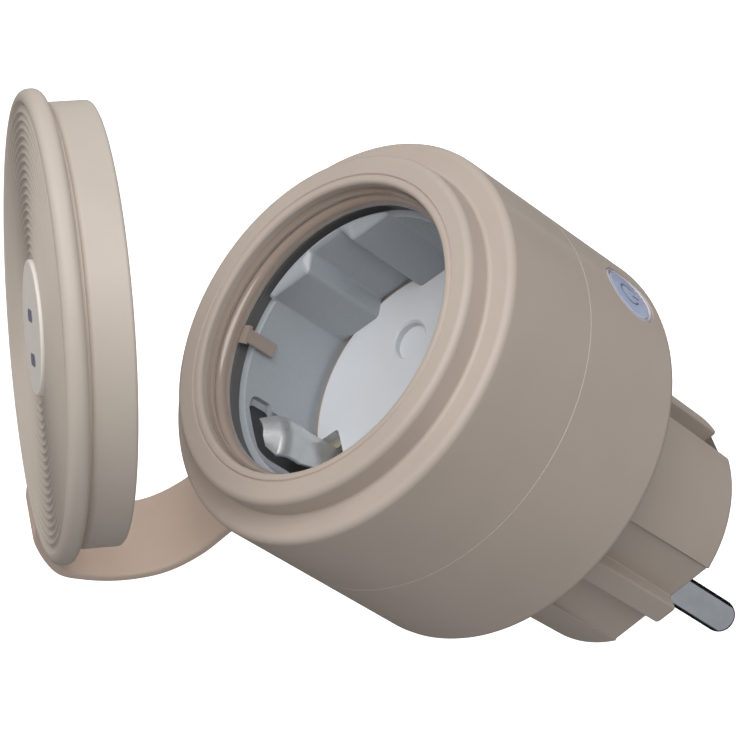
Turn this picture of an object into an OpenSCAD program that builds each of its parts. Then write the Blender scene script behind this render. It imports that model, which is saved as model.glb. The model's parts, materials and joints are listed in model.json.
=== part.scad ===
/* [Housing] */
// Diameter of the round housing
body_d = 58; // [57:0.5:60]
// Length of the housing from its shoulder to its rear edge
shell_len = 35.8; // [35:0.2:37]
// Wall thickness of both housing shells
shell_wall = 2.2; // [2:0.1:2.4]
// Distance from the shoulder back to the seam between the shells
seam_pos = 16.65; // [16:0.05:17.5]
// Diameter of the collar that the lid's skirt slips over
collar_d = 50.4; // [50:0.1:50.6]
// Height of the collar above the shoulder
collar_h = 4; // [3.6:0.1:4.2]
// Diameter of the socket's mouth
mouth_d = 41.7; // [41.6:0.1:41.9]

/* [Plug] */
// Diameter of the plug body at its end face
plug_d = 37; // [36.6:0.1:37.2]
// Length that the plug body stands out of the housing
plug_len = 28.5; // [27:0.5:30]
// Diameter of each plug pin
pin_d = 4.8; // [4.7:0.05:4.9]
// Distance between the two pins
pin_spacing = 19; // [18.8:0.1:19.2]
// Length of each pin beyond the plug's end face
pin_len = 19; // [18:0.5:20]

/* [Socket] */
// Depth of the socket floor behind the shoulder
floor_pos = 17.5; // [17:0.1:18]
// Inner diameter of the socket liner
liner_d = 39; // [38.8:0.1:39.2]
// Turn of the socket insert about the axis, from the plug's pin line
insert_angle = 6.5; // [0:0.5:7]
// Distance between the faces of the guide blocks
guide_gap = 32.8; // [32.6:0.1:33.2]
// Diameter of the holes in the socket floor
socket_hole_d = 5.3; // [5.1:0.1:5.6]
// Travel of the safety shutter
shutter_travel = 6.4; // [6.2:0.1:6.6]

/* [Button] */
// Diameter of the button cap
button_d = 7.9; // [7.8:0.1:8.2]
// Distance from the rear edge of the housing to the button's centre
button_pos = 7.5; // [7:0.1:8]

/* [Lid] */
// Diameter of the lid's flange
flange_d = 61.2; // [60:0.2:62]
// Outer diameter of the lid's skirt
skirt_d = 57.5; // [57:0.1:58]
// Angle of the lid from its closed direction
lid_angle = 43.3; // [38:0.1:45]
// Distance of the lid's open edge in front of the shoulder
lid_reach = 27.3; // [26:0.1:30]
// Drop of the lid's centre below the housing's axis
lid_drop = 17.1; // [16:0.1:20]
// Turn of the strap's plane about the axis, from the plug's pin line
strap_angle = 5.5; // [0:0.5:7]
// Number of ridges on the lid's face
ridge_count = 18; // [12:1:18]
// Width of the strap
strap_w = 13; // [11:0.5:14]
// Thickness of the strap
strap_t = 1.4; // [1.2:0.1:1.6]

/* [Hidden] */
$fn = 96;

// Colours
taupe = [0.72, 0.67, 0.61];
pale_grey = [0.84, 0.85, 0.86];
blue_grey = [0.52, 0.56, 0.6];
metal = [0.75, 0.74, 0.72];
copper = [0.8, 0.6, 0.35];
board_green = [0.1, 0.35, 0.22];

// Places along the axis: Y is 0 at the plug's end face and the socket looks along -Y
y_rear = -plug_len;
y_shoulder = y_rear - shell_len;
y_mouth = y_shoulder - collar_h;
y_seam = y_shoulder + seam_pos;
y_floor = y_shoulder + floor_pos;
body_r = body_d / 2;
cavity_r = body_r - shell_wall;
collar_r = collar_d / 2;
mouth_r = mouth_d / 2;
liner_r = liner_d / 2;
pin_x = pin_spacing / 2;
pin_r = pin_d / 2;
edge = 1;
slip = 0.05;

// Shells
rear_wall = 2.5;
plug_hole_r = plug_d / 2 + 0.85;
holder_r = 22.6;
holder_end = y_shoulder + 8;
lip_in = 3;
lip_t = 1.1;
seal_r = 0.45;
y_button = y_rear - button_pos;
bezel_r = button_d / 2 + 0.6;
bezel_in = button_d / 2 + 0.15;
slot_w = strap_w + 0.6;
slot_half_len = 1.2;
tab_w = 2.6;
tab_angle = -135;
tab_end = y_shoulder + 6.6;

// Liner, face and shutter
liner_wall = 1.1;
y_liner = y_shoulder + 2;
liner_end = y_floor + 3;
liner_flange_r = 24;
flange_t = 1.3;
block_in = guide_gap / 2;
groove_mouth = 3.9;
groove_root = 1.8;
block_front = y_shoulder + 2.1;
clip_w = 5.4;
window_w = clip_w + 1.2;
slot_half = 4.5;
face_t = 1.2;
face_r = 18.6;
shutter_t = 1.6;
shutter_w = 26.4;
shutter_h = 6.8;
y_shutter = y_floor + face_t + 0.1;
y_carrier = y_shutter + shutter_t + 0.15;
carrier_r = liner_r - 0.2;
carrier_t = 1.5;
block_w = 28;
block_h = 12;
block_len = 6.2;
spring_seat_z = 13.6;
strip_z = 14.9;
metal_t = 0.8;
notch_z = 14.45;

// Contacts and pins
sleeve_r = pin_r + 0.8;
sleeve_in = pin_r + 0.05;
y_sleeve = y_carrier + 0.6;
head_r = pin_r + 0.9;
head_t = 1;
shank_r = pin_r - 0.2;
y_head = y_rear + 2;
tail_w = 3;
tail_end = 9.6;
tail_y = y_carrier + 9;

// Plug body
plug_base_r = 21.5;
plug_base_t = 2.15;
y_plug_base = y_rear - rear_wall - slip - plug_base_t;
draft = 0.6;
rib_h = 3.6;
flat_x = 16.1;
flat_top = 8.6;
channel_w = 5;
channel_z = 14.5;
screw_ring_r = 20.1;
screw_r = 0.9;

// Boards
board_z = -11;
board_t = 1.6;
board_w = 38;
y_board = y_carrier + 1.7;
board_len = y_plug_base - 0.2 - y_board;
control_z = 19;
control_t = 1;
control_w = 16;
radio_t = 1.5;
part_len = 7.2;
y_part = y_board + 0.5;

// Button
cap_bottom = 25.6;
stem_bottom = 25;
cap_flange_t = 0.7;
switch_top = 23.2;
seal_disc_r = 4.7;

// Lid, in its own frame: Y is 0 at the skirt's open end, and the outer face looks along -Y
lid_y = y_shoulder - lid_reach;
lid_z = -lid_drop;
flange_r = flange_d / 2;
skirt_r = skirt_d / 2;
skirt_in = collar_r + 0.55;
cap_top = -5.65;
cap_floor = -4.7;
cover_in = -6.2;
cover_out = -9;
cover_edge = 1.1;
ridge_pitch = 1.05;
ridge_h = 0.4;
ridge_start = 28.2;
dish_y = -8.55;
badge_h = 0.75;
badge_r = 8.8;

// Strap: its three bending lines, as [y, z]
strap_a = [y_shoulder + 11, -31];
strap_b = [y_shoulder - 2, -51];
strap_c = [y_shoulder - 8.5, -48.3];
strap_end = [y_shoulder - 11, -45.5];
strap_curve = [[y_shoulder + 11.3, -37], [y_shoulder + 10, -42.5], [y_shoulder + 6.5, -47],
    [y_shoulder + 2, -50]];
fold_gap = 2.6;
bend_gap = 1.2;
root_gap = 0.9;
anchor_half = 1.5;
anchor_z = -cavity_r + 1.4;
anchor_t = 1;

function arc(c, r, a0, a1, n = 6) =
    [for (i = [0:n]) let (a = a0 + (a1 - a0) * i / n) c + r * [cos(a), sin(a)]];
function unit(v) = v / norm(v);
function left_of(v) = [-v[1], v[0]];
function side_of(p, i, t) =
    let (a = unit(p[max(i, 1)] - p[max(i, 1) - 1]),
         b = unit(p[min(i + 1, len(p) - 1)] - p[min(i, len(p) - 2)]),
         n = left_of(a), m = left_of(b))
    (n + m) / (1 + n * m) * t / 2;
function ribbon(p, t) = concat(
    [for (i = [0:len(p) - 1]) p[i] + side_of(p, i, t)],
    [for (i = [len(p) - 1:-1:0]) p[i] - side_of(p, i, t)]);
function between(p, q, from_p, from_q) =
    let (u = unit(q - p)) [p + u * from_p, q - u * from_q];

// Turned about the Y axis, from a profile of [radius, y]
module turned(profile) {
    rotate([-90, 0, 0]) rotate_extrude() polygon(profile);
}
// A flat outline in X and Z, from y0 to y1
module bar_y(y0, y1) {
    translate([0, y1, 0]) rotate([90, 0, 0]) linear_extrude(y1 - y0) children();
}
// A flat outline in Y and Z, across the width w
module bar_x(w) {
    translate([-w / 2, 0, 0]) rotate([90, 0, 90]) linear_extrude(w) children();
}
module block(x, y, z) {
    translate([x[0], y[0], z[0]]) cube([x[1] - x[0], y[1] - y[0], z[1] - z[0]]);
}
module rod_y(r, y0, y1) {
    translate([0, y0, 0]) rotate([-90, 0, 0]) cylinder(r = r, h = y1 - y0);
}
module half_turned() {
    children();
    rotate([0, 180, 0]) children();
}
module strap_plane() {
    rotate([0, strap_angle, 0]) children();
}
module lid_place() {
    strap_plane() translate([0, lid_y, lid_z]) rotate([lid_angle, 0, 0]) children();
}
module insert() {
    rotate([0, insert_angle, 0]) children();
}
module button_axis() {
    translate([0, y_button, 0]) children();
}

// Front shell: barrel, shoulder, collar and the holder behind it
module front_shell() color(taupe) difference() {
    turned(concat(
        [[cavity_r, y_seam], [body_r, y_seam]],
        arc([body_r - edge, y_shoulder + edge], edge, 0, -90),
        arc([collar_r + 0.6, y_shoulder - 0.6], 0.6, 90, 180, 4),
        arc([collar_r - edge, y_mouth + edge], edge, 0, -90),
        [[22.2, y_mouth], [22.05, y_mouth + 0.25], [21.9, y_mouth]],
        arc([mouth_r + 0.6, y_mouth + 0.6], 0.6, -90, -180, 5),
        [[mouth_r, holder_end], [holder_r, holder_end], [holder_r, y_shoulder + shell_wall],
         [cavity_r, y_shoulder + shell_wall]]));
    strap_plane() block([-slot_w / 2, slot_w / 2], [strap_a[0] - slot_half_len, strap_a[0] + slot_half_len],
        [-body_r - 1, -cavity_r + 1]);
}

// Rear shell: barrel, rear wall with the plug's hole, the button's hole and the lip in the seam
module rear_shell() color(taupe) difference() {
    turned(concat(
        [[cavity_r - 0.1 - lip_t, y_seam - lip_in], [cavity_r - 0.1, y_seam - lip_in],
         [cavity_r - 0.1, y_seam], [body_r, y_seam]],
        arc([body_r - 1.4, y_rear - 1.4], 1.4, 0, 90),
        [[plug_hole_r, y_rear], [plug_hole_r, y_rear - rear_wall], [cavity_r, y_rear - rear_wall],
         [cavity_r, y_seam + 1.5], [cavity_r - 0.1 - lip_t, y_seam + 0.4]]));
    button_axis() translate([0, 0, cavity_r - 4]) cylinder(r = bezel_r + slip, h = 8);
}

module shell_seal() color("dimgray") rotate([-90, 0, 0]) rotate_extrude()
    translate([cavity_r - seal_r - 0.15, y_seam - lip_in - seal_r - 0.1]) circle(r = seal_r, $fn = 24);

// Glossy stepped ring in the mouth, with its locating tab
module throat_ring() color(taupe) {
    outer = mouth_r - slip;
    turned([[outer, y_mouth + 1.5], [outer, y_shoulder + 1.5], [19.85, y_shoulder + 1.5],
        [19.7, y_shoulder + 1.2], [19.7, y_shoulder + 0.7], [20.05, y_shoulder + 0.3],
        [20.05, y_shoulder - 0.3], [19.9, y_shoulder - 0.6], [19.9, y_shoulder - 1.1],
        [20.3, y_shoulder - 1.5], [20.3, y_mouth + 1.7], [20.5, y_mouth + 1.5]]);
    rotate([0, tab_angle, 0]) {
        block([-tab_w / 2, tab_w / 2], [y_shoulder + 1.2, y_shoulder + 1.5], [18.7, outer - 0.3]);
        block([-tab_w / 2, tab_w / 2], [y_shoulder + 1.2, tab_end], [18.7, liner_r - 0.1]);
    }
}

// Guide blocks: flats on both sides of the recess, with a groove between them
module guide_blocks() {
    bar_y(block_front, y_floor - slip) difference() {
        circle(r = liner_r + 0.4);
        square([2 * block_in, 2 * liner_d], center = true);
        for (side = [0, 1]) mirror([side, 0]) polygon([[block_in, -groove_mouth],
            [liner_r + 1, -groove_root], [liner_r + 1, groove_root], [block_in, groove_mouth]]);
    }
}
module socket_liner() color(blue_grey) insert() difference() {
    union() {
        rod_y(liner_r + liner_wall, y_liner, liner_end);
        rod_y(liner_flange_r, holder_end + slip, holder_end + slip + flange_t);
    }
    difference() {
        rod_y(liner_r, y_liner - 1, liner_end + 1);
        guide_blocks();
    }
    half_turned() block([-slot_half, slot_half], [y_liner + 1.4, liner_end + 1],
        [liner_r - 3, liner_r + liner_wall + 0.1]);
}

module socket_face() color(pale_grey) insert() difference() {
    rod_y(face_r, y_floor, y_floor + face_t);
    for (side = [-1, 1]) translate([side * pin_x, 0, 0])
        rod_y(socket_hole_d / 2, y_floor - 1, y_floor + face_t + 1);
    half_turned()
        block([-window_w / 2, window_w / 2], [y_floor - 1, y_floor + face_t + 1], [notch_z, liner_d]);
}
module face_ring() color(taupe) insert() difference() {
    turned([[face_r + slip, y_floor + 0.6], [liner_r - slip, y_floor + 0.6],
        [liner_r - slip, y_floor + face_t], [face_r + slip, y_floor + face_t]]);
    half_turned() block([-window_w / 2, window_w / 2], [y_floor, y_floor + 2], [notch_z, liner_d]);
}

module shutter() color("whitesmoke") insert() bar_y(y_shutter, y_shutter + shutter_t) difference() {
    square([shutter_w, shutter_h], center = true);
    for (side = [-1, 1]) translate([side * shutter_w / 2, shutter_h / 2]) rotate(45)
        square(2, center = true);
}
module shutter_spring() color(metal) insert() {
    low = shutter_h / 2 + slip;
    step = (spring_seat_z - slip - low) / 6;
    path = [for (i = [0:6]) [(i % 2 == 0 ? -2.4 : 2.4), low + 0.25 + (step - 0.08) * i]];
    bar_y(y_shutter + 0.2, y_shutter + shutter_t - 0.2) polygon(ribbon(path, 0.35));
}
module contact_carrier() color("ivory") insert() difference() {
    union() {
        rod_y(carrier_r, y_carrier, y_carrier + carrier_t);
        block([-block_w / 2, block_w / 2], [y_carrier, y_carrier + block_len], [-block_h / 2, block_h / 2]);
        block([-4, 4], [y_shutter, y_carrier + 0.1], [spring_seat_z, notch_z - slip]);
    }
    for (side = [-1, 1]) translate([side * pin_x, 0, 0])
        rod_y(sleeve_r + slip, y_carrier - 1, y_carrier + block_len + 1);
    half_turned() block([-window_w / 2, window_w / 2], [y_carrier - 1, y_carrier + 4], [notch_z, liner_d]);
}

// Spring sleeve for one pin, with its soldering tail
module contact_sleeve(base_y) {
    difference() {
        rod_y(sleeve_r, y_sleeve, base_y);
        rod_y(sleeve_in, y_sleeve - 1, base_y - metal_t);
        block([-0.3, 0.3], [y_sleeve - 1, y_sleeve + 10], [-sleeve_r - 1, sleeve_r + 1]);
    }
    block([-tail_w / 2, tail_w / 2], [tail_y, tail_y + metal_t], [-tail_end, -sleeve_r + 0.2]);
}
module live_contact() color(copper) insert() translate([pin_x, 0, 0]) contact_sleeve(y_head - 0.5);
module neutral_contact() color(copper) insert() translate([-pin_x, 0, 0]) contact_sleeve(y_head - slip);

// Sprung earth clip: base, inward nose and flared tip
module earth_clip() color(metal) insert() bar_x(clip_w) polygon(ribbon([
    [y_carrier + carrier_t, 17], [y_floor - 2.5, 17], [y_floor - 8.2, 15], [y_floor - 9.6, 15.1],
    [y_floor - 12.8, 17.6]], 0.6));
module earth_clip_top() earth_clip();
module earth_clip_bottom() rotate([0, 180, 0]) earth_clip();
module earth_strip() color(metal) bar_x(channel_w - 0.6) polygon(ribbon([
    [y_carrier + carrier_t + 0.35, 17], [y_carrier + carrier_t + 2.4, strip_z], [-1.6, strip_z]], metal_t));
module earth_strip_top() earth_strip();
module earth_strip_bottom() rotate([0, 180, 0]) earth_strip();

// Plug body: drafted round body with guide flats, side ribs and earth channels
module plug_outline() difference() {
    circle(r = plug_d);
    for (side = [-1, 1], up = [-1, 1])
        translate([side > 0 ? flat_x : -flat_x - plug_d, up > 0 ? rib_h / 2 : -flat_top])
            square([plug_d, flat_top - rib_h / 2]);
}
module plug_body() color(taupe) difference() {
    union() {
        intersection() {
            bar_y(y_rear - rear_wall - 1, 1) plug_outline();
            turned(concat([[0, y_rear - rear_wall - 1], [plug_d / 2 + draft, y_rear - rear_wall - 1],
                [plug_d / 2 + draft, y_rear]],
                arc([plug_d / 2 - 1, -1], 1, 0, 90), [[0, 0]]));
        }
        rod_y(plug_base_r, y_plug_base, y_plug_base + plug_base_t);
    }
    half_turned() block([-channel_w / 2, channel_w / 2], [y_plug_base - 1, 1], [channel_z - slip, plug_d]);
    for (side = [-1, 1]) translate([side * pin_x, 0, 0]) {
        rod_y(shank_r + slip, y_rear, 1);
        rod_y(head_r + slip, y_head - slip, y_head + head_t + slip);
    }
    insert() for (side = [-1, 1]) translate([side * pin_x, 0, 0])
        rod_y(sleeve_r + slip, y_plug_base - 1, y_head);
    for (a = [45:90:315]) rotate([0, a, 0]) translate([0, 0, screw_ring_r])
        rod_y(screw_r + slip, y_plug_base - 1, y_rear);
}
module plug_pin() color(metal) turned(concat(
    [[0, y_head], [head_r, y_head], [head_r, y_head + head_t], [shank_r, y_head + head_t],
        [shank_r, slip], [pin_r, slip]],
    arc([0, pin_len - pin_r], pin_r, 0, 90, 8)));
module live_pin() translate([pin_x, 0, 0]) plug_pin();
module neutral_pin() translate([-pin_x, 0, 0]) plug_pin();
module plug_screws() color("silver") for (a = [45:90:315]) rotate([0, a, 0])
    translate([0, 0, screw_ring_r]) {
        rod_y(screw_r, y_plug_base - 0.1, y_plug_base + plug_base_t);
        rod_y(1.3, y_plug_base - 1, y_plug_base - slip);
    }

// Boards and what they carry
module main_board() color(board_green) difference() {
    block([-board_w / 2, board_w / 2], [y_board, y_board + board_len], [board_z - board_t, board_z]);
    for (x = [-16.5, 16.5]) translate([x, y_board + 2, board_z - 3]) cylinder(d = 1.6, h = 5);
}
module under_board(x, height) {
    block(x, [y_part, y_part + part_len], [board_z - board_t - height, board_z - board_t]);
}
module relay() color([0.15, 0.3, 0.55]) under_board([3.4, 14.4], 8);
module capacitor() color("darkslategray") translate([-9, 0, board_z - board_t - 4.1])
    rod_y(4, y_part, y_part + part_len);
module fuse() color("tan") translate([17, 0, board_z - board_t - 1.6]) rod_y(1.5, y_part, y_part + part_len);
module power_module() color("black")
    block([-6, 6], [y_part, y_part + 6.5], [board_z, board_z + 4.3]);
module control_board() color(board_green)
    block([-control_w / 2, control_w / 2], [y_board, y_board + board_len],
        [control_z, control_z + control_t]);
module radio_module() color("silver")
    block([-6, 6], [y_part, y_part + part_len], [control_z - radio_t, control_z]);
module button_switch() color("dimgray") button_axis() difference() {
    translate([-2.6, -2.6, control_z + control_t]) cube([5.2, 5.2, switch_top - control_z - control_t]);
    translate([0, 0, switch_top - 1.6]) cylinder(r = 1.6, h = 3);
}
module switch_plunger() color("black") button_axis()
    translate([0, 0, switch_top - 1]) cylinder(r = 1.5, h = stem_bottom - 0.1 - switch_top + 1);
module status_led() color("aliceblue")
    block([4, 5.4], [y_button - 0.8, y_button + 0.8], [control_z + control_t, control_z + control_t + 0.9]);

// Button cap, its bezel and the sealing washer below it
module button_cap() color([0.62, 0.67, 0.78]) {
    intersection() {
        button_axis() translate([0, 0, cap_bottom]) cylinder(d = button_d, h = 5);
        rod_y(body_r - 0.15, y_button - 6, y_button + 6);
    }
    button_axis() translate([0, 0, cap_bottom]) cylinder(r = button_d / 2 + 0.55, h = cap_flange_t);
    button_axis() translate([0, 0, stem_bottom]) cylinder(r = 1.8, h = 1);
}
module button_ring() color([0.78, 0.77, 0.8]) intersection() {
    button_axis() translate([0, 0, cap_bottom + cap_flange_t + 0.15]) difference() {
        cylinder(r = bezel_r, h = 5);
        translate([0, 0, -1]) cylinder(r = bezel_in, h = 7);
    }
    rod_y(body_r, y_button - 6, y_button + 6);
}
module button_seal() color("dimgray") button_axis() translate([0, 0, 24.3]) difference() {
    cylinder(r = seal_disc_r, h = 0.6);
    translate([0, 0, -1]) cylinder(r = 2.2, h = 3);
}

// Lid
module lid_cover() color(taupe) lid_place() turned(concat(
    [[0, cap_top], [skirt_r - 1.4, cap_top], [skirt_r - 1.4, cover_in]],
    arc([flange_r - cover_edge, cover_in - cover_edge], cover_edge, 90, 0),
    arc([flange_r - cover_edge, cover_out + cover_edge], cover_edge, 0, -110),
    [for (i = [0:ridge_count - 1], k = [0:3]) let (r = ridge_start - i * ridge_pitch)
        [r - [0, 0.3, 0.6, 0.9][k], dish_y - (k == 1 || k == 2 ? ridge_h : 0)]],
    [[badge_r + 0.1, dish_y], [badge_r + 0.1, dish_y + 0.5], [0, dish_y + 0.5]]));
module lid_badge() color([0.78, 0.74, 0.69]) lid_place() turned(concat(
    [[0, dish_y + 0.5], [badge_r, dish_y + 0.5]],
    arc([badge_r - 0.3, dish_y - badge_h + 0.3], 0.3, 0, -90, 4), [[0, dish_y - badge_h]]));
module lid_cap() color(taupe) lid_place() turned(concat(
    [[skirt_in + 0.4, 0]],
    arc([skirt_r - 0.5, -0.5], 0.5, 90, 0, 4),
    arc([skirt_r - 0.8, cap_top + 0.8], 0.8, 0, -90, 5),
    [[0, cap_top], [0, cap_floor], [skirt_in - 0.6, cap_floor], [skirt_in, cap_floor + 0.6],
     [skirt_in, -0.4]]));
module lid_gasket() color("gray") lid_place() turned([[21.4, cap_floor], [24.2, cap_floor],
    [24.2, cap_floor + 0.5], [23.3, cap_floor + 0.75], [22.3, cap_floor + 0.75], [21.4, cap_floor + 0.5]]);

// Strap, in four pieces between its bending lines
module strap_piece(ends) color(taupe) strap_plane() bar_x(strap_w) polygon(ribbon(ends, strap_t));
module strap_anchor() color(taupe) strap_plane() {
    block([-strap_w / 2 - 1, strap_w / 2 + 1], [strap_a[0] - anchor_half, strap_a[0] + anchor_half],
        [anchor_z, anchor_z + anchor_t]);
    block([-strap_w / 2, strap_w / 2], [strap_a[0] - strap_t / 2, strap_a[0] + strap_t / 2],
        [strap_a[1] + root_gap, anchor_z + 0.2]);
}
module strap_rear() strap_piece(concat(
    [strap_a + unit(strap_curve[0] - strap_a) * root_gap], strap_curve,
    [strap_b - unit(strap_b - strap_curve[len(strap_curve) - 1]) * fold_gap]));
module strap_front() strap_piece(between(strap_b, strap_c, fold_gap, bend_gap));
module strap_lug() difference() {
    strap_piece(between(strap_c, strap_end, bend_gap, -1.6));
    lid_place() turned([[0, 1], [skirt_r + slip, 1], [skirt_r + slip, cover_in + slip],
        [flange_r + slip, cover_in + slip], [flange_r + slip, cover_out - 3], [0, cover_out - 3]]);
}

front_shell();
rear_shell();
shell_seal();
throat_ring();
socket_liner();
socket_face();
face_ring();
shutter();
shutter_spring();
contact_carrier();
live_contact();
neutral_contact();
earth_clip_top();
earth_clip_bottom();
earth_strip_top();
earth_strip_bottom();
plug_body();
live_pin();
neutral_pin();
plug_screws();
main_board();
relay();
capacitor();
fuse();
power_module();
control_board();
radio_module();
button_switch();
switch_plunger();
status_led();
button_cap();
button_ring();
button_seal();
lid_cover();
lid_cap();
lid_gasket();
lid_badge();
strap_anchor();
strap_rear();
strap_front();
strap_lug();
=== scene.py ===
"""Looks of the round smart plug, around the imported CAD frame. Metres, +Z up, pins along +Y."""
import json
import math

import bmesh
import bpy
from mathutils import Matrix, Vector


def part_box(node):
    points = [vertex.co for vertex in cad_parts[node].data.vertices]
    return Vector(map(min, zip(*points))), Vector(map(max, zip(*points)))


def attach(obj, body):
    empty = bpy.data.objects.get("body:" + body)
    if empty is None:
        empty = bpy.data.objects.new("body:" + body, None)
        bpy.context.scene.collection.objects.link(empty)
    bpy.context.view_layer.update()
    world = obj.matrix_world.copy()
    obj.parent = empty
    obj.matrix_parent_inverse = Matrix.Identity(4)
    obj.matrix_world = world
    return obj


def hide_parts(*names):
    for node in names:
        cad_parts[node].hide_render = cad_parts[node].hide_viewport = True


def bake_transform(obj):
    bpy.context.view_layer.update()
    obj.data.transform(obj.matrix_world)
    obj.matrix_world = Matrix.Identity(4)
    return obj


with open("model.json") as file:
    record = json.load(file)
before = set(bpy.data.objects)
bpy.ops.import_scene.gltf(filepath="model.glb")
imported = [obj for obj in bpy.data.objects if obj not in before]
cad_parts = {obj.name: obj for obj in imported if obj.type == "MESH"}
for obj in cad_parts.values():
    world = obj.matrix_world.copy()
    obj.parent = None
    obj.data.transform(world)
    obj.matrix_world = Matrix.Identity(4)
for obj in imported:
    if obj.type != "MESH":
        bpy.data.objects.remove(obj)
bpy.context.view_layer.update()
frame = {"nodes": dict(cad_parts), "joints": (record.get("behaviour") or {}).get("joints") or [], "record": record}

MM = 0.001
TURN = 2 * math.pi
ROUND = 256          # segments of a full turn on the large visible surfaces

# ---------------------------------------------------------------- sizes, in millimetres


def low(node):
    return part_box(node)[0] / MM


def high(node):
    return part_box(node)[1] / MM


def joint_point(name):
    joint = next(j for j in frame["joints"] if j["name"] == name)
    return Vector(joint["pos_m"]) / MM


Y_MOUTH = low("front_shell").y
Y_SEAM = high("front_shell").y
Y_REAR = high("rear_shell").y
Y_FLOOR = low("socket_face").y
BODY_R = high("rear_shell").x
COLLAR_H = 4.0
Y_SHOULDER = Y_MOUTH + COLLAR_H
COLLAR_R = 25.2
MOUTH_R = 20.85
WALL = 2.2
CAVITY_R = BODY_R - WALL
LINER_R = 19.5
FACE_R = 18.6
INSERT_ANGLE = math.radians(6.5)
BUTTON_Y = (low("button_cap").y + high("button_cap").y) / 2
BUTTON_R = 3.95
BEZEL_R = 4.55
PIN_X = 9.5
PIN_R = 2.4
PIN_LEN = high("live_pin").y
PLUG_R = 18.5
PLUG_DRAFT = 0.6
LID_ANGLE = math.radians(43.3)
LID_REACH = 27.3
LID_DROP = 17.1
STRAP_ANGLE = math.radians(5.5)
SKIRT_R = 28.75
FLANGE_R = 30.6
STRAP_W = 13.0
STRAP_T = 1.4

INSERT = Matrix.Rotation(INSERT_ANGLE, 4, "Y")
STRAP_PLANE = Matrix.Rotation(STRAP_ANGLE, 4, "Y")
LID = (STRAP_PLANE @ Matrix.Translation((0, Y_SHOULDER - LID_REACH, -LID_DROP))
       @ Matrix.Rotation(LID_ANGLE, 4, "X"))

BUTTON = Matrix.Translation((0, BUTTON_Y, 0)) @ Matrix.Rotation(TURN / 4, 4, "X")

# ---------------------------------------------------------------- outlines


def arc(centre, radius, start, end, steps):
    """Points on an arc, angles in degrees."""
    points = []
    for i in range(steps + 1):
        a = math.radians(start + (end - start) * i / steps)
        points.append((centre[0] + radius * math.cos(a), centre[1] + radius * math.sin(a)))
    return points


def filleted(corners, steps=6, closed=True):
    """An outline from corners (x, y) or (x, y, radius), each rounded where it has a radius."""
    points = []
    count = len(corners)
    for i, corner in enumerate(corners):
        here = Vector(corner[:2])
        radius = corner[2] if len(corner) > 2 else 0
        if radius == 0 or (not closed and i in (0, count - 1)):
            points.append(tuple(here))
            continue
        before = Vector(corners[i - 1][:2]) - here
        after = Vector(corners[(i + 1) % count][:2]) - here
        half = before.angle(after) / 2
        reach = radius / math.tan(half)
        start = here + before.normalized() * reach
        end = here + after.normalized() * reach
        centre = here + (before.normalized() + after.normalized()).normalized() * (radius / math.sin(half))
        first = start - centre
        sweep = first.angle_signed(end - centre)
        for k in range(steps + 1):
            points.append(tuple(centre + Matrix.Rotation(-sweep * k / steps, 2) @ first))
    return points


# ---------------------------------------------------------------- meshes


def new_object(name, verts, faces, place=None):
    mesh = bpy.data.meshes.new(name)
    place = place or Matrix.Identity(4)
    mesh.from_pydata([(place @ Vector(v)) * MM for v in verts], [], faces)
    work = bmesh.new()
    work.from_mesh(mesh)
    bmesh.ops.remove_doubles(work, verts=work.verts, dist=1e-7)
    bmesh.ops.recalc_face_normals(work, faces=work.faces)
    work.to_mesh(mesh)
    work.free()
    obj = bpy.data.objects.new(name, mesh)
    bpy.context.scene.collection.objects.link(obj)
    return obj


def turned(name, profile, segments=ROUND, place=None, wave=None):
    """Turns a closed (radius, y) outline about the Y axis. wave(angle, radius, y) may move a point."""
    verts = []
    for i in range(segments):
        a = TURN * i / segments
        for r, y in profile:
            if wave:
                r, y = wave(a, r, y)
            verts.append((r * math.sin(a), y, r * math.cos(a)))
    count = len(profile)
    faces = []
    for i in range(segments):
        j = (i + 1) % segments
        for k in range(count):
            m = (k + 1) % count
            faces.append((i * count + k, i * count + m, j * count + m, j * count + k))
    return new_object(name, verts, faces, place)


def lofted(name, rings, place=None):
    """Joins closed rings of (x, y, z) points and caps both ends."""
    count = len(rings[0])
    verts = [p for ring in rings for p in ring]
    faces = []
    for i in range(len(rings) - 1):
        for k in range(count):
            m = (k + 1) % count
            faces.append((i * count + k, i * count + m, (i + 1) * count + m, (i + 1) * count + k))
    faces.append(tuple(range(count)))
    faces.append(tuple(range((len(rings) - 1) * count, len(rings) * count)))
    return new_object(name, verts, faces, place)


def bar(name, outline, y0, y1, place=None):
    """A straight bar along Y with an (x, z) outline."""
    return lofted(name, [[(x, y, z) for x, z in outline] for y in (y0, y1)], place)


def applied(obj):
    """Makes obj's modifiers part of its mesh."""
    bpy.context.view_layer.update()
    graph = bpy.context.evaluated_depsgraph_get()
    mesh = bpy.data.meshes.new_from_object(obj.evaluated_get(graph))
    obj.modifiers.clear()
    obj.data = mesh
    return obj


def combine(obj, operation, *others):
    for other in others:
        step = obj.modifiers.new("combine", "BOOLEAN")
        step.operation = operation
        step.object = other
        step.solver = "EXACT"
        applied(obj)
        bpy.data.objects.remove(other)
    return obj


def cut(obj, *others):
    return combine(obj, "DIFFERENCE", *others)


def smooth(obj, angle=35):
    obj.data.shade_smooth()
    obj.data.set_sharp_from_angle(angle=math.radians(angle))
    step = obj.modifiers.new("normals", "WEIGHTED_NORMAL")
    step.keep_sharp = True
    step.weight = 100
    return obj


def finish_piece(obj, body, slot, material, *nodes, angle=35):
    obj.data.materials.clear()
    obj.data.materials.append(material)
    smooth(obj, angle)
    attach(obj, body)
    if nodes:
        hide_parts(*nodes)
    return obj


# ---------------------------------------------------------------- materials


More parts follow.
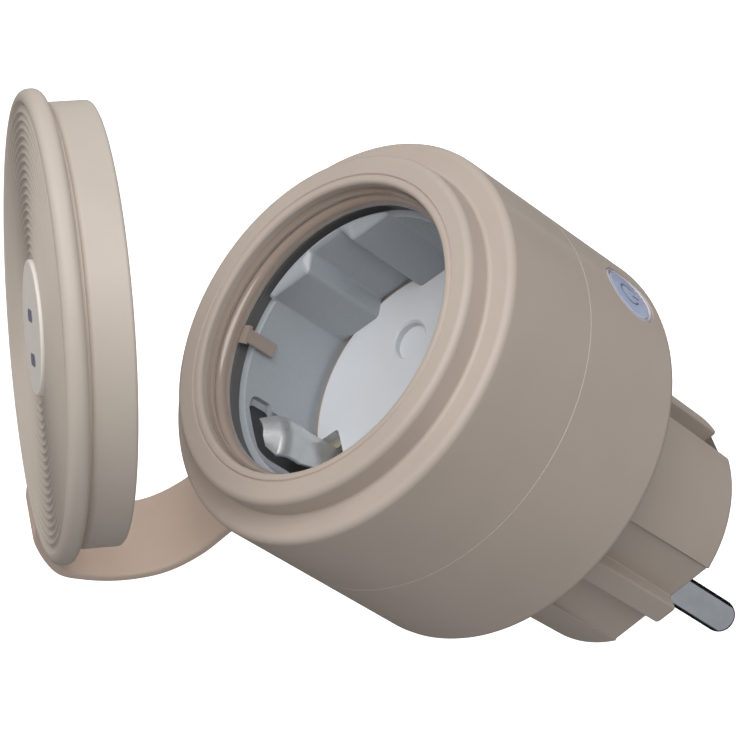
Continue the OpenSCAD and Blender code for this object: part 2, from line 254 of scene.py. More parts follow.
class Nodes:
    """A material's node tree, with short ways to add to it."""

    def __init__(self, name):
        self.material = bpy.data.materials.new(name)
        self.material.use_nodes = True
        self.tree = self.material.node_tree
        self.shader = next(n for n in self.tree.nodes if n.type == "BSDF_PRINCIPLED")
        self.coords = self.add("ShaderNodeTexCoord").outputs["Object"]

    def add(self, kind, **values):
        node = self.tree.nodes.new(kind)
        for key, value in values.items():
            setattr(node, key, value)
        return node

    def link(self, source, target):
        self.tree.links.new(source, target)

    def scaled(self, scale):
        node = self.add("ShaderNodeMapping")
        node.inputs["Scale"].default_value = scale
        self.link(self.coords, node.inputs["Vector"])
        return node.outputs["Vector"]

    def noise(self, scale, detail=3, roughness=0.55, vector=None):
        node = self.add("ShaderNodeTexNoise")
        node.inputs["Scale"].default_value = scale
        node.inputs["Detail"].default_value = detail
        node.inputs["Roughness"].default_value = roughness
        self.link(vector or self.coords, node.inputs["Vector"])
        return node.outputs["Fac"]

    def ranged(self, value, start, end, from_low=0.3, from_high=0.7):
        node = self.add("ShaderNodeMapRange")
        node.inputs["From Min"].default_value = from_low
        node.inputs["From Max"].default_value = from_high
        node.inputs["To Min"].default_value = start
        node.inputs["To Max"].default_value = end
        self.link(value, node.inputs["Value"])
        return node.outputs["Result"]

    def mixed(self, factor, first, second):
        node = self.add("ShaderNodeMix", data_type="RGBA")
        self.link(factor, node.inputs["Factor"])
        for socket, value in ((node.inputs["A"], first), (node.inputs["B"], second)):
            if isinstance(value, tuple):
                socket.default_value = (*value[:3], 1)
            else:
                self.link(value, socket)
        return node.outputs["Result"]

    def bump(self, height, distance, strength=1.0, after=None):
        node = self.add("ShaderNodeBump")
        node.inputs["Strength"].default_value = strength
        node.inputs["Distance"].default_value = distance
        self.link(height, node.inputs["Height"])
        if after:
            self.link(after, node.inputs["Normal"])
        return node.outputs["Normal"]

    def to(self, name, value):
        if isinstance(value, (int, float, tuple)):
            self.shader.inputs[name].default_value = value
        else:
            self.link(value, self.shader.inputs[name])


def linear(red, green, blue):
    """A colour given in display values from 0 to 255, as a linear one."""
    def channel(v):
        v /= 255
        return v / 12.92 if v <= 0.04045 else ((v + 0.055) / 1.055) ** 2.4
    return (channel(red), channel(green), channel(blue))


def shifted(colour, factor):
    return tuple(min(1, c * factor) for c in colour)


def moulded(name, colour, rough, grain=5200, depth=0.000012, shift=0.04, coat=0.0):
    """Moulded plastic: fine spark-eroded grain, faint cloudiness in the colour and uneven sheen."""
    n = Nodes(name)
    cloud = n.noise(55, detail=4)
    pale, deep = shifted(colour, 1 + shift), shifted(colour, 1 - shift)
    n.to("Base Color", n.mixed(n.ranged(cloud, 0, 1), deep, pale))
    fine = n.noise(grain, detail=2, roughness=0.6)
    n.to("Roughness", n.ranged(fine, rough - 0.05, rough + 0.05))
    n.to("Normal", n.bump(fine, depth))
    n.to("Specular IOR Level", 0.5)
    if coat:
        n.to("Coat Weight", coat)
        n.to("Coat Roughness", 0.12)
    return n.material


def stamped(name, colour, rough, along=(1, 0.03, 1), scale=2400, depth=0.000006, metallic=1.0):
    """Sheet or drawn metal with fine lines along one direction."""
    n = Nodes(name)
    lines = n.noise(scale, detail=4, vector=n.scaled(along))
    stain = n.noise(220, detail=4)
    n.to("Base Color", n.mixed(n.ranged(stain, 0, 1), shifted(colour, 0.88), shifted(colour, 1.06)))
    n.to("Roughness", n.ranged(lines, rough - 0.07, rough + 0.08))
    n.to("Normal", n.bump(lines, depth))
    n.to("Metallic", metallic)
    return n.material


def circuit_board():
    """Green solder mask over copper tracks, with small pads."""
    n = Nodes("circuit_board")
    tracks = n.add("ShaderNodeTexBrick")
    tracks.inputs["Scale"].default_value = 420
    tracks.inputs["Mortar Size"].default_value = 0.035
    tracks.inputs["Color1"].default_value = (0, 0, 0, 1)
    tracks.inputs["Color2"].default_value = (0, 0, 0, 1)
    tracks.inputs["Mortar"].default_value = (1, 1, 1, 1)
    n.link(n.coords, tracks.inputs["Vector"])
    weave = n.noise(3000, detail=2)
    base = n.mixed(n.ranged(weave, 0, 1), (0.012, 0.085, 0.04), (0.02, 0.12, 0.06))
    n.to("Base Color", n.mixed(tracks.outputs["Color"], base, (0.03, 0.2, 0.09)))
    n.to("Roughness", n.ranged(weave, 0.25, 0.4))
    n.to("Normal", n.bump(tracks.outputs["Color"], 0.00003))
    return n.material


TAUPE = linear(186, 173, 162)
SHELL = moulded("shell_plastic", TAUPE, 0.48)
LID_PLASTIC = moulded("lid_plastic", linear(196, 185, 174), 0.5)
BADGE = moulded("badge_plastic", linear(244, 236, 228), 0.42)
BADGE_MARK = moulded("badge_mark", linear(132, 134, 150), 0.4)
STRAP_PLASTIC = moulded("strap_plastic", linear(212, 191, 176), 0.5, grain=3600, depth=0.000016)
THROAT = moulded("throat_plastic", linear(158, 142, 130), 0.18, depth=0.000003, coat=1.0)
LINER = moulded("liner_plastic", linear(166, 172, 178), 0.3, depth=0.000003, shift=0.02, coat=0.2)
FACE = moulded("face_plastic", linear(214, 217, 221), 0.4, depth=0.000006)
SHUTTER = moulded("shutter_plastic", linear(214, 218, 222), 0.34, depth=0.000005)
IVORY = moulded("carrier_plastic", linear(214, 206, 190), 0.45)
DARK = moulded("dark_plastic", linear(38, 38, 40), 0.42)
BLUE = moulded("relay_plastic", linear(52, 92, 150), 0.35)
SEAL = moulded("seal_rubber", linear(92, 92, 92), 0.62, grain=2600, depth=0.00002)
CERAMIC = moulded("fuse_ceramic", linear(214, 204, 180), 0.25, depth=0.000004, coat=0.4)
BRASS = stamped("contact_brass", (0.72, 0.52, 0.24), 0.3)
STEEL = stamped("spring_steel", (0.66, 0.68, 0.69), 0.34, metallic=0.75)
SHIELD = stamped("shield_tin", (0.66, 0.66, 0.65), 0.38, along=(0.05, 1, 1))
PIN = stamped("pin_nickel", (0.72, 0.76, 0.82), 0.14, scale=1600, depth=0.0000015)
BOARD = circuit_board()


def translucent(name, colour, rough, through):
    """Tinted clear plastic over a pale core."""
    n = Nodes(name)
    cloud = n.noise(260, detail=3)
    n.to("Base Color", n.mixed(n.ranged(cloud, 0, 1), shifted(colour, 0.93), shifted(colour, 1.05)))
    fine = n.noise(4200, detail=2)
    n.to("Roughness", n.ranged(fine, rough - 0.03, rough + 0.03))
    n.to("Normal", n.bump(fine, 0.000003))
    n.to("Subsurface Weight", through)
    n.to("Subsurface Radius", (0.6, 0.8, 1.0))
    n.to("Subsurface Scale", 0.0015)
    n.to("Coat Weight", 0.6)
    n.to("Coat Roughness", 0.08)
    return n.material


LENS = translucent("button_plastic", linear(206, 217, 248), 0.24, 0.5)
LENS_MARK = translucent("button_mark", linear(120, 134, 168), 0.3, 0.2)
RIM = translucent("bezel_plastic", linear(205, 200, 208), 0.2, 0.4)

SLOT_MATERIAL = {
    "shell_taupe": SHELL, "gasket_taupe": THROAT, "liner_grey": LINER, "face_pale": FACE,
    "shutter_white": SHUTTER, "carrier_ivory": IVORY, "contact_brass": BRASS, "spring_steel": STEEL,
    "pin_nickel": PIN, "board_green": BOARD, "relay_blue": BLUE, "part_black": DARK,
    "fuse_ceramic": CERAMIC, "shield_can": SHIELD, "button_lens": LENS, "bezel_lilac": RIM,
    "seal_grey": SEAL, "lid_taupe": LID_PLASTIC, "strap_taupe": STRAP_PLASTIC}

for part in frame["record"]["subparts"]:
    node = frame["nodes"][part["node"]]
    if not node.material_slots:
        node.data.materials.append(None)
    for material_slot in node.material_slots:
        material_slot.material = SLOT_MATERIAL[part["material_slot"]]

# ---------------------------------------------------------------- housing


def front_shell():
    seam_edge = 0.11
    holder_end = Y_SHOULDER + 8
    holder_r = 22.6
    profile = filleted([
        (CAVITY_R, Y_SEAM), (BODY_R - seam_edge, Y_SEAM), (BODY_R, Y_SEAM - seam_edge),
        (BODY_R, Y_SHOULDER, 1.1), (COLLAR_R, Y_SHOULDER, 0.55), (COLLAR_R, Y_MOUTH, 1.0),
        (22.25, Y_MOUTH, 0.12), (22.05, Y_MOUTH + 0.3, 0.08), (21.85, Y_MOUTH, 0.12),
        (MOUTH_R, Y_MOUTH, 0.6), (MOUTH_R, holder_end, 0.3), (holder_r, holder_end, 0.3),
        (holder_r, Y_SHOULDER + WALL, 0.4), (CAVITY_R, Y_SHOULDER + WALL, 0.6)])
    shell = turned("front_shell_outer", profile)
    slot_y = joint_point("lid_open").y
    slot = filleted([(-STRAP_W / 2 - 0.3, -BODY_R - 2, 0), (STRAP_W / 2 + 0.3, -BODY_R - 2, 0),
                     (STRAP_W / 2 + 0.3, -CAVITY_R + 1, 0), (-STRAP_W / 2 - 0.3, -CAVITY_R + 1, 0)])
    cut(shell, bar("slot", slot, slot_y - 1.2, slot_y + 1.2, STRAP_PLANE))
    return finish_piece(shell, "housing", "shell_taupe", SHELL, "front_shell")


def rear_shell():
    seam_edge = 0.11
    lip_r = CAVITY_R - 0.1
    lip_t = 1.1
    lip_in = 3
    rear_wall = 2.5
    hole_r = PLUG_R + 0.85
    profile = filleted([
        (lip_r - lip_t, Y_SEAM - lip_in), (lip_r, Y_SEAM - lip_in), (lip_r, Y_SEAM),
        (BODY_R - seam_edge, Y_SEAM), (BODY_R, Y_SEAM + seam_edge), (BODY_R, Y_REAR, 1.5),
        (hole_r, Y_REAR, 0.3), (hole_r, Y_REAR - rear_wall), (CAVITY_R, Y_REAR - rear_wall, 0.6),
        (CAVITY_R, Y_SEAM + 1.5), (lip_r - lip_t, Y_SEAM + 0.4)])
    shell = turned("rear_shell_outer", profile)
    hole = turned("hole", [
        (0, CAVITY_R - 4), (BEZEL_R + 0.05, CAVITY_R - 4), (BEZEL_R + 0.05, BODY_R - 0.35),
        (BEZEL_R + 0.3, BODY_R + 0.1), (BEZEL_R + 0.3, BODY_R + 2), (0, BODY_R + 2)],
        segments=96, place=BUTTON)
    cut(shell, hole)
    return finish_piece(shell, "housing", "shell_taupe", SHELL, "rear_shell")


def throat_ring():
    outer = MOUTH_R - 0.05
    bead = [(20.75 + 1.1 * r, Y_SHOULDER + 0.15 + 1.35 * y) for r, y in arc((0, 0), 1, 270, 90, 24)]
    back = filleted([
        (outer, Y_MOUTH + 1.5, 0.1), (outer, Y_SHOULDER + 1.5), (20.75, Y_SHOULDER + 1.5)], closed=False)
    steps = filleted([
        (20.75, Y_SHOULDER - 1.2), (20.62, Y_SHOULDER - 1.4, 0.1), (20.35, Y_SHOULDER - 1.5, 0.12),
        (20.3, Y_SHOULDER - 1.95, 0.12), (20.5, Y_MOUTH + 1.7, 0.1), (20.6, Y_MOUTH + 1.5, 0.1)])
    ring = turned("throat_ring_stepped", back + bead[::-1][1:] + steps[1:])
    place = Matrix.Rotation(math.radians(-135), 4, "Y")
    tab = bar("tab", filleted([(-1.0, 18.7, 0.2), (1.0, 18.7, 0.2), (1.0, 19.4), (-1.0, 19.4)]),
              Y_SHOULDER + 1.25, Y_SHOULDER + 6.6, place)
    root = bar("root", [(-1.3, 18.7), (1.3, 18.7), (1.3, outer - 0.2), (-1.3, outer - 0.2)],
               Y_SHOULDER + 0.9, Y_SHOULDER + 1.45, place)
    combine(ring, "UNION", root, tab)
    finish_piece(ring, "housing", "gasket_taupe", THROAT, "throat_ring")
    # a grey ring put in the gap between the ring and the liner as painted shade, standing in for the shadow there;
    # it has no CAD node
    gap = turned("throat_gap_shade_ring", filleted([
        (20.82, Y_SHOULDER + 1.6, 0.05), (20.82, Y_SHOULDER + 3.4, 0.05),
        (20.3, Y_SHOULDER + 3.4, 0.2), (20.3, Y_SHOULDER + 1.6, 0.2)]))
    return finish_piece(gap, "housing", "seal_grey", SEAL)


# ---------------------------------------------------------------- socket insert


def recess_outline(block):
    """Inner outline of the recess, (x, z). block goes from 0, a circle, to 1, full guide blocks."""
    flat_x = 16.4
    mouth = 3.9
    root = 2.7
    root_x = 18.9
    run_out = math.sqrt(LINER_R ** 2 - flat_x ** 2)
    right = filleted([
        (LINER_R * 0.8, -LINER_R * 0.6), (flat_x, -run_out, 0.9), (flat_x, -mouth, 0.9),
        (root_x, -root, 0.5), (root_x, root, 0.5),
        (flat_x, mouth, 0.9), (flat_x, run_out, 0.9), (LINER_R * 0.8, LINER_R * 0.6)],
        closed=False)[1:-1]
    start = math.atan2(right[-1][1], right[-1][0])
    top = arc((0, 0), LINER_R, math.degrees(start), 180 - math.degrees(start), 96)[1:-1]
    half = right + top
    full = half + [(-x, -z) for x, z in half]
    points = []
    for x, z in full:
        grow = LINER_R / math.hypot(x, z)
        keep = 1 - (1 - grow) * (1 - block)
        points.append((x * keep, z * keep))
    return points


def socket_liner():
    y_front = Y_SHOULDER + 2
    y_back = Y_FLOOR + 3
    holder_end = Y_SHOULDER + 8
    outer = LINER_R + 1.1
    body = turned("socket_liner_cup", filleted([
        (12, y_front + 0.1), (LINER_R + 0.15, y_front + 0.1), (LINER_R + 0.35, y_front, 0.1),
        (outer, y_front, 0.2),
        (outer, holder_end + 0.05), (24, holder_end + 0.05, 0.2), (24, holder_end + 1.35, 0.2),
        (outer, holder_end + 1.35, 0.2), (outer, y_back), (12, y_back)]), place=INSERT)
    y_block = Y_SHOULDER + 1.9
    stations = [(y_front - 1, 0), (y_block, 0)]
    ramp = (0.1, 0.25, 0.4, 0.55, 0.7, 0.85, 1.0)
    stations += [(y_block + 1.1 * t, math.sin(t * TURN / 4)) for t in ramp]
    stations += [(Y_FLOOR - 0.05, 1), (Y_FLOOR - 0.04, 0), (y_back + 1, 0)]
    rings = [[(x, y, z) for x, z in recess_outline(block)] for y, block in stations]
    cut(body, lofted("recess", rings, INSERT))
    rim = Y_SHOULDER + 3.5
    cut(body, turned("front", [
        (LINER_R - 0.02, y_front - 1), (outer + 1, y_front - 1), (outer + 1, rim),
        (LINER_R + 0.2, rim), (LINER_R - 0.02, rim + 0.15)], place=INSERT))
    slot_start = Y_SHOULDER + 5.0
    slot_step = Y_SHOULDER + 9.2
    for half_turn in (0, TURN / 2):
        place = INSERT @ Matrix.Rotation(half_turn, 4, "Y")
        slot = filleted([
            (-4.9, slot_start, 1.8), (5.3, slot_start, 1.8), (5.3, slot_step, 0.8),
            (4.5, slot_step + 0.6, 0.5), (4.5, y_back + 1), (-4.9, y_back + 1)])
        depths = ((LINER_R - 3, 0.5), (LINER_R - 0.3, 0.5), (LINER_R + 0.25, 0), (outer + 0.1, 0))
        levels = [[(x * (1 + e / 4.5), y - e * (y < Y_SHOULDER + 10), z) for x, y in slot]
                  for z, e in depths]
        cut(body, lofted("slot", levels, place))
    return finish_piece(body, "housing", "liner_grey", LINER, "socket_liner")


def socket_face():
    """Pale floor of the recess: two pin holes with soft rims, and notches for the earth clips."""
    thick = 1.2
    disc = turned("socket_face_plate", filleted([
        (0.0, Y_FLOOR), (FACE_R, Y_FLOOR, 0.25), (FACE_R, Y_FLOOR + thick), (0.0, Y_FLOOR + thick)]),
        place=INSERT)
    hole_r = 2.65
    for side in (-1, 1):
        place = INSERT @ Matrix.Translation((side * PIN_X, 0, 0))
        hole = turned("hole", [
            (0, Y_FLOOR - 1), (hole_r + 0.3, Y_FLOOR - 1), (hole_r + 0.3, Y_FLOOR - 0.001),
            (hole_r, Y_FLOOR + 0.3), (hole_r, Y_FLOOR + 2), (0, Y_FLOOR + 2)], segments=96, place=place)
        cut(disc, hole)
    for half_turn in (0, TURN / 2):
        place = INSERT @ Matrix.Rotation(half_turn, 4, "Y")
        notch = filleted([(-3.3, 14.45, 0.6), (3.3, 14.45, 0.6), (3.3, 20), (-3.3, 20)])
        cut(disc, bar("notch", notch, Y_FLOOR - 1, Y_FLOOR + 2, place))
    return finish_piece(disc, "housing", "face_pale", FACE, "socket_face")


def strip_rings(path, wide, deep, edge=0.12, across=1):
    """Cross-sections of a strip that follows a (y, z) path, with rounded long edges."""
    w, d = wide / 2, deep / 2
    rounded = filleted([(-w, -d, edge), (w, -d, edge), (w, d, edge), (-w, d, edge)], steps=3)
    section = []
    for i, (x, t) in enumerate(rounded):
        next_x, next_t = rounded[(i + 1) % len(rounded)]
        count = across if abs(next_x - x) > wide / 2 else 1
        section += [(x + (next_x - x) * k / count, t + (next_t - t) * k / count) for k in range(count)]
    rings = []
    for i, (y, z) in enumerate(path):
        before = Vector(path[max(i, 1) - 1])
        after = Vector(path[min(i, len(path) - 2) + 1])
        along = (after - before).normalized()
        rings.append([(x, y - along.y * t, z + along.x * t) for x, t in section])
    return rings


def earth_clip(name, body, half_turn):
    """Sprung earth clip: flared tip, dished nose that is broader on one side, and a narrow leg."""
    place = INSERT @ Matrix.Rotation(half_turn, 4, "Y")
    tip = Y_SHOULDER + 5.5
    nose = Y_SHOULDER + 9.2
    corners = [(Y_FLOOR + 4.55, 17), (Y_FLOOR - 1.2, 17.1, 6), (nose + 1.4, 16.0, 4.0),
               (nose - 1.2, 16.0, 3.0), (tip, 18.4)]
    half_wide = 2.7
    near_side = (0.5, -0.25)     # dish depth and extra width where x > 0
    far_side = (1.6, 0.55)
    wall_limit = 18.5
    path = filleted(corners, steps=14, closed=False)
    rings = []
    for ring, (y, z) in zip(strip_rings(path, 2 * half_wide, 0.5, across=14), path):
        lead = min(1, max(0, (Y_FLOOR - 1.0 - y) / 2.6))
        lead = lead * lead * (3 - 2 * lead)
        taper = 1 - 0.2 * max(0, (tip + 1.6 - y) / 1.6) ** 2
        moved = []
        for x, py, pz in ring:
            dish, widen = near_side if x > 0 else far_side
            px = x * (1 + widen * lead) * taper
            moved.append((px, py, min(wall_limit, pz + dish * lead * (x / half_wide) ** 2)))
        rings.append(moved)
    clip = lofted(name, rings, place)
    finish_piece(clip, body, "spring_steel", STEEL, name.replace("_strip", ""))
    # a black sheet closes the opening behind the clip as painted shade, so the inside reads dark; it has no CAD
    # node
    outline = arc((0, 0), 20.8, 90 - 21, 90 + 17, 24) + arc((0, 0), 20.55, 90 + 17, 90 - 21, 24)
    dark_sheet = bar(name.replace("_strip", "_painted_shade"), outline, Y_SHOULDER + 4.0, Y_FLOOR + 1.0, place)
    return finish_piece(dark_sheet, "housing", "part_black", DARK)


# ---------------------------------------------------------------- plug


def plug_outline(inset, radius):
    """Outline of the plug body, (x, z), drawn in by inset all round."""
    r = radius - inset
    rib = 1.8 - inset
    flat = 16.1 - inset
    flat_top = 8.6 + inset * 0.3
    channel = 2.5 + inset
    channel_z = 14.45 - inset
    quarter = [
        (math.sqrt(r ** 2 - rib ** 2), rib, 0.35), (flat, rib, 0.25), (flat, flat_top, 0.25),
        (math.sqrt(r ** 2 - flat_top ** 2), flat_top, 0.1)]
    start = math.degrees(math.atan2(flat_top, quarter[-1][0]))
    end = math.degrees(math.acos(channel / r))
    curve = arc((0, 0), r, start, end, 40)
    edge = [(channel, math.sqrt(r ** 2 - channel ** 2), 0.35), (channel, channel_z, 0.3)]
    right_top = quarter + [(*p, 0) for p in curve[1:-1]] + edge
    left_top = [(-x, z, f) for x, z, f in reversed(right_top)]
    top = right_top + left_top
    return filleted(top + [(-x, -z, f) for x, z, f in top], steps=4)


def plug_body():
    y_back = Y_REAR - 3.5
    end_round = 1.0
    stations = [(y_back, 0, PLUG_R + PLUG_DRAFT), (Y_REAR, 0, PLUG_R + PLUG_DRAFT)]
    stations.append((-end_round, 0, PLUG_R))
    for i in range(1, 9):
        a = TURN / 4 * i / 8
        stations.append((-end_round + end_round * math.sin(a), end_round * (1 - math.cos(a)), PLUG_R))
    rings = [[(x, y, z) for x, z in plug_outline(inset, r)] for y, inset, r in stations]
    body = lofted("plug_body_shell", rings)
    y_base = Y_REAR - 2.55 - 2.15
    base_r, base_t = 21.5, 2.15
    base = turned("base", filleted([
        (3, y_base), (base_r, y_base, 0.3), (base_r, y_base + base_t, 0.3), (3, y_base + base_t)]))
    combine(body, "UNION", base)
    for side in (-1, 1):
        place = Matrix.Translation((side * PIN_X, 0, 0))
        hole = turned("hole", [
            (0, Y_REAR + 2), (PIN_R + 0.05, Y_REAR + 2), (PIN_R + 0.05, -0.25),
            (PIN_R + 0.35, 0.05), (PIN_R + 0.35, 2), (0, 2)], segments=72, place=place)
        cut(body, hole)
    return finish_piece(body, "housing", "shell_taupe", SHELL, "plug_body")


def plug_pin(name, side, node):
    y_head = Y_REAR + 2
    profile = [(0, y_head), (3.3, y_head), (3.3, y_head + 1), (PIN_R, y_head + 1)]
    profile += arc((0.55, PIN_LEN - 1.85), 1.85, 0, 90, 14)
    profile.append((0, PIN_LEN))
    pin = turned(name, profile, segments=96, place=Matrix.Translation((side * PIN_X, 0, 0)))
    return finish_piece(pin, "housing", "pin_nickel", PIN, node)


# ---------------------------------------------------------------- button


def saddle(height, drop=0.0):
    """Moves a turned point so that a flat top follows the barrel's curve."""
    def wave(a, r, y):
        if y < height:
            return r, y
        x = r * math.sin(a)
        return r, y - (BODY_R - math.sqrt(BODY_R ** 2 - x * x)) - drop
    return wave


def button_cap():
    top = BODY_R - 0.12
    rise = [(BUTTON_R * k / 10, top) for k in range(0, 10)]
    skirt_r = BUTTON_R + 0.55
    profile = [(0, 25.0), (1.8, 25.0), (1.8, 25.6), (skirt_r, 25.6), (skirt_r, 26.3), (BUTTON_R, 26.3),
               (BUTTON_R, top - 0.25), (BUTTON_R - 0.07, top - 0.08), (BUTTON_R - 0.25, top)] + rise[::-1]
    cap = turned("button_cap_lens", profile, segments=96, place=BUTTON, wave=saddle(28))
    return finish_piece(cap, "button", "button_lens", LENS, "button_cap")


def button_ring():
    low_y = 26.45
    inner = BUTTON_R + 0.15
    top = BODY_R - 0.02
    profile = filleted([(inner, low_y), (BEZEL_R, low_y), (BEZEL_R, top, 0.12), (inner, top, 0.12)], steps=4)
    ring = turned("button_ring_bezel", profile, segments=128, place=BUTTON, wave=saddle(28))
    return finish_piece(ring, "housing", "bezel_lilac", RIM, "button_ring")


def button_mark():
    """Generic on-off mark, a thin raised arc with a stroke."""
    parts = []
    radius = 1.7
    thick = 0.16
    top = BODY_R - 0.12
    outline = []
    for i in range(41):
        a = math.radians(-150 + 300 * i / 40)
        outline.append((radius * math.sin(a), -radius * math.cos(a)))
    stroke = [(0, 0.5 + 1.5 * i / 8) for i in range(9)]
    section = ((-1, -0.05), (-0.8, 0.03), (0.8, 0.03), (1, -0.05))
    below = BODY_R - top
    for line in (outline, stroke):
        rings = []
        for i, (u, v) in enumerate(line):
            before = Vector(line[max(i, 1) - 1])
            after = Vector(line[min(i, len(line) - 2) + 1])
            side = (after - before).normalized().orthogonal() * thick
            rings.append([(u + side.x * s, v + side.y * s, h) for s, h in section])
        lifted = [[(u, BUTTON_Y + v, math.sqrt(BODY_R ** 2 - u * u) - below + h) for u, v, h in ring]
                  for ring in rings]
        parts.append(lofted("button_mark_piece", lifted))
    mark = parts[0]
    with bpy.context.temp_override(active_object=mark, selected_editable_objects=parts):
        bpy.ops.object.join()
    mark.name = "button_mark"
    return finish_piece(mark, "button", "button_lens", LENS_MARK)


# ---------------------------------------------------------------- lid


def lid_cover():
    """Lid's outer disc: rolled flange, dished face with concentric ridges and a flat seat for the badge."""
    cap_top = -5.65
    inner = -6.2
    outer = -9.0
    dish = -8.55
    ridges = []
    for i in range(18):
        r = 28.2 - i * 1.05
        ridges += [(r, dish), (r - 0.2, dish - 0.1), (r - 0.4, dish - 0.38),
                   (r - 0.58, dish - 0.38), (r - 0.78, dish - 0.1), (r - 0.92, dish)]
    profile = filleted([
        (0, cap_top), (SKIRT_R - 0.6, cap_top), (SKIRT_R - 0.6, inner, 0.2),
        (FLANGE_R, inner, 1.1), (FLANGE_R, outer, 1.3),
        (29.1, outer, 0.4), (28.5, dish, 0.2)])
    profile += ridges + [(8.9, dish), (8.9, dish + 0.5), (0, dish + 0.5)]
    cover = turned("lid_cover_disc", profile, place=LID)
    return finish_piece(cover, "lid", "lid_taupe", LID_PLASTIC, "lid_cover", angle=28)


def lid_cap():
    cap_top = -5.65
    cap_floor = -4.7
    inner = COLLAR_R + 0.55
    profile = filleted([
        (0, cap_floor), (inner, cap_floor, 0.6), (inner, 0, 0.3),
        (SKIRT_R, 0, 0.5), (SKIRT_R, cap_top, 0.8), (0, cap_top)])
    cap = turned("lid_cap_skirt", profile, place=LID)
    return finish_piece(cap, "lid", "lid_taupe", LID_PLASTIC, "lid_cap")


def lid_badge():
    dish = -8.55
    top = dish - 0.75
    profile = filleted([(0, dish + 0.5), (8.8, dish + 0.5), (8.8, top + 0.05, 0.3), (0, top)])
    badge = turned("lid_badge_disc", profile, segments=160, place=LID)
    finish_piece(badge, "lid", "lid_taupe", BADGE, "lid_badge")
    # two small generic marks, one above and one below the middle
    for name, along in (("lid_badge_mark_upper", 1.6), ("lid_badge_mark_lower", -4.1)):
        outline = filleted([(-0.8, -2.0, 0.7), (0.8, -2.0, 0.7), (0.8, 2.0, 0.7), (-0.8, 2.0, 0.7)])
        turn = Matrix.Rotation(math.radians(48), 4, "Y")
        place = LID @ Matrix.Translation((-0.741 * along, 0, 0.672 * along)) @ turn
        mark = bar(name, outline, top - 0.05, top + 0.1, place)
        finish_piece(mark, "lid", "lid_taupe", BADGE_MARK)


def lid_gasket():
    floor = -4.7
    profile = filleted([(21.4, floor), (24.2, floor), (24.2, floor + 0.55, 0.25), (23.3, floor + 0.75, 0.3),
                        (22.3, floor + 0.75, 0.3), (21.4, floor + 0.55, 0.25)])
    gasket = turned("lid_gasket_ring", profile, segments=192, place=LID)
    return finish_piece(gasket, "lid", "seal_grey", SEAL, "lid_gasket")


# ---------------------------------------------------------------- strap


def curve_through(knots, step):
    """A smooth path through the knots, in steps of about the given length."""
    padded = [knots[0]] + list(knots) + [knots[-1]]
    path = []
    for i in range(len(knots) - 1):
        p0, p1, p2, p3 = (Vector(padded[i + k]) for k in range(4))
        count = max(2, round((p2 - p1).length / step))
        for k in range(count):
            t = k / count
            square = (p0 * 2 - p1 * 5 + p2 * 4 - p3) * t ** 2
            cube = (p1 * 3 - p0 - p2 * 3 + p3) * t ** 3
            point = p1 * 2 + (p2 - p0) * t + square + cube
            path.append(tuple(point / 2))
    path.append(tuple(knots[-1]))
    return path


def strap():
    """One strip from the housing to the lid, in pieces that meet halfway between the bending lines."""
    hinges = ("lid_open", "strap_fold", "lid_tilt")
    a, b, c = (STRAP_PLANE.inverted() @ joint_point(name) for name in hinges)
    anchor = (a.y, -CAVITY_R + 1.2)
    lug_end = (Y_SHOULDER - 12.1, -44.3)
    sweep = [(Y_SHOULDER + 11.3, -37), (Y_SHOULDER + 10, -42.5), (Y_SHOULDER + 6.5, -47),
             (Y_SHOULDER + 2, -50)]
    knots = [anchor, (a.y, a.z), *sweep, (b.y, b.z), (c.y, c.z), lug_end]
    path = curve_through(knots, 0.5)
    middle_ab = (a + b) / 2
    middle_bc = (b + c) / 2

    def nearest(point):
        return min(range(len(path)), key=lambda i: math.dist(path[i], (point.y, point.z)))

    first, second = nearest(middle_ab), nearest(middle_bc)
    rings = strip_rings(path, STRAP_W, STRAP_T, edge=0.45)
    # the strap's -X side draws in from the fold to the lid, where little of it is left
    drawn_in = 0.86
    last = len(path) - 1
    fold = nearest(b)
    for i in range(fold, last + 1):
        t = min(1, (i - fold) / (0.7 * (last - fold)))
        narrow = 1 - drawn_in * t * t * (3 - 2 * t)
        rings[i] = [(x * narrow if x < 0 else x, y, z) for x, y, z in rings[i]]
    stretches = (
        ("strap_root", 0, first, "housing", "strap_rear_part", a, 2.2, ("strap_anchor",)),
        ("strap_bend", first, second, "strap_rear_part", "strap_front_part", b, 3.2, ("strap_rear",)),
        ("strap_end", second, last, "strap_front_part", "lid", c, 2.2, ("strap_front", "strap_lug")))
    for name, start, end, body_a, body_b, hinge, reach, nodes in stretches:
        piece = lofted(name, rings[start:end + 1], STRAP_PLANE)
        piece.data.materials.append(STRAP_PLASTIC)
        smooth(piece)
        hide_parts(*nodes)
        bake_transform(piece)


# ---------------------------------------------------------------- build

front_shell()
rear_shell()
throat_ring()
socket_liner()
socket_face()
earth_clip("earth_clip_top_strip", "clip_top", 0)
earth_clip("earth_clip_bottom_strip", "clip_bottom", TURN / 2)
plug_body()
plug_pin("live_pin_rod", 1, "live_pin")
plug_pin("neutral_pin_rod", -1, "neutral_pin")
button_cap()
button_ring()
button_mark()
lid_cover()
lid_cap()
lid_badge()
lid_gasket()
strap()

for name, node in frame["nodes"].items():
    if not node.hide_render:
        node.data.shade_smooth()
        node.data.set_sharp_from_angle(angle=math.radians(30))

# ---------------------------------------------------------------- stage, light and camera

AZIMUTH = math.radians(46.13)
ELEVATION = math.radians(19.37)
ROLL = math.radians(50.1)
BACK = Vector((math.sin(AZIMUTH) * math.cos(ELEVATION), -math.cos(AZIMUTH) * math.cos(ELEVATION),
               math.sin(ELEVATION)))
LEVEL = Vector((math.cos(AZIMUTH), math.sin(AZIMUTH), 0))
RIGHT = LEVEL * math.cos(ROLL) + BACK.cross(LEVEL) * math.sin(ROLL)
UP = BACK.cross(RIGHT)
CENTRE = Vector((0, -0.055, -0.01))


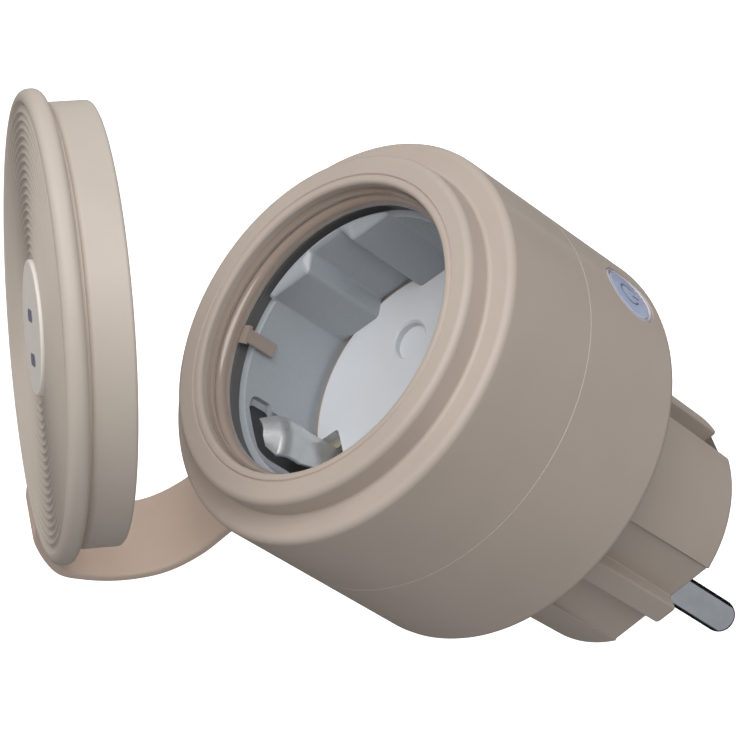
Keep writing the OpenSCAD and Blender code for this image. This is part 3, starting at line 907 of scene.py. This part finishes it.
def square(name, half, z=0):
    """A flat square on the (x, y) plane, half as wide as it says on each side of the middle."""
    corners = [(-half, -half, z), (half, -half, z), (half, half, z), (-half, half, z)]
    return new_object(name, corners, [(0, 1, 2, 3)])


def camera():
    data = bpy.data.cameras.new("camera")
    data.lens = 182.7
    data.sensor_width = 36
    data.clip_start = 0.01
    data.clip_end = 20
    obj = bpy.data.objects.new("camera", data)
    bpy.context.scene.collection.objects.link(obj)
    obj.matrix_world = Matrix.Translation((0.3380, -0.3816, 0.1635)) @ Matrix(
        (RIGHT, UP, BACK)).transposed().to_4x4()
    bpy.context.scene.camera = obj


def floor():
    plate = square("floor", 6000, z=-240)
    n = Nodes("floor_paint")
    grain = n.noise(40, detail=3)
    n.to("Base Color", n.mixed(n.ranged(grain, 0, 1), (0.9, 0.9, 0.9), (0.92, 0.92, 0.92)))
    n.to("Roughness", 0.8)
    n.to("Specular IOR Level", 0.1)
    n.to("Emission Color", (1, 1, 1, 1))
    n.to("Emission Strength", 0.8)
    plate.data.materials.append(n.material)
    plate.visible_diffuse = False
    plate.visible_glossy = False


def dark_card():
    """Black card behind the object, seen only in glossy reflections, for dark edges on polished metal."""
    turn = Matrix((RIGHT, UP, BACK)).transposed().to_4x4()
    card = square("dark_card", 600)
    card.matrix_world = Matrix.Translation(CENTRE - BACK * 0.5) @ turn
    n = Nodes("card_paint")
    fibre = n.noise(60, detail=3)
    n.to("Base Color", n.mixed(n.ranged(fibre, 0, 1), (0.004, 0.004, 0.004), (0.006, 0.006, 0.006)))
    n.to("Roughness", 0.9)
    n.to("Specular IOR Level", 0.0)
    card.data.materials.append(n.material)
    card.visible_camera = False
    card.visible_diffuse = False
    card.visible_transmission = False
    card.visible_shadow = False


def soft_light(name, direction, distance, size, power, colour=(1, 1, 1)):
    data = bpy.data.lights.new(name, "AREA")
    data.shape = "DISK"
    data.size = size
    data.energy = power
    data.color = colour
    obj = bpy.data.objects.new(name, data)
    bpy.context.scene.collection.objects.link(obj)
    obj.matrix_world = Matrix.Translation(CENTRE + direction.normalized() * distance) @ (
        direction.to_track_quat("Z", "Y").to_matrix().to_4x4())
    return obj


def sky():
    world = bpy.data.worlds.new("studio")
    bpy.context.scene.world = world
    world.use_nodes = True
    background = world.node_tree.nodes["Background"]
    background.inputs["Color"].default_value = (1, 1, 1, 1)
    background.inputs["Strength"].default_value = 0.37


camera()
floor()
dark_card()
sky()
soft_light("key", UP * 0.5 + BACK * 0.9 - RIGHT * 0.05, 1.0, 1.0, 7.0)
front_fill = soft_light("front_fill", Vector((-0.15, -1, 0.1)), 1.2, 0.6, 3.2)
front_fill.data.use_shadow = False
front_fill.data.cycles.cast_shadow = False
soft_light("rear_fill", -BACK * 0.8 + UP * 0.3, 1.2, 1.0, 6.0)
bpy.context.scene.view_settings.view_transform = "Standard"
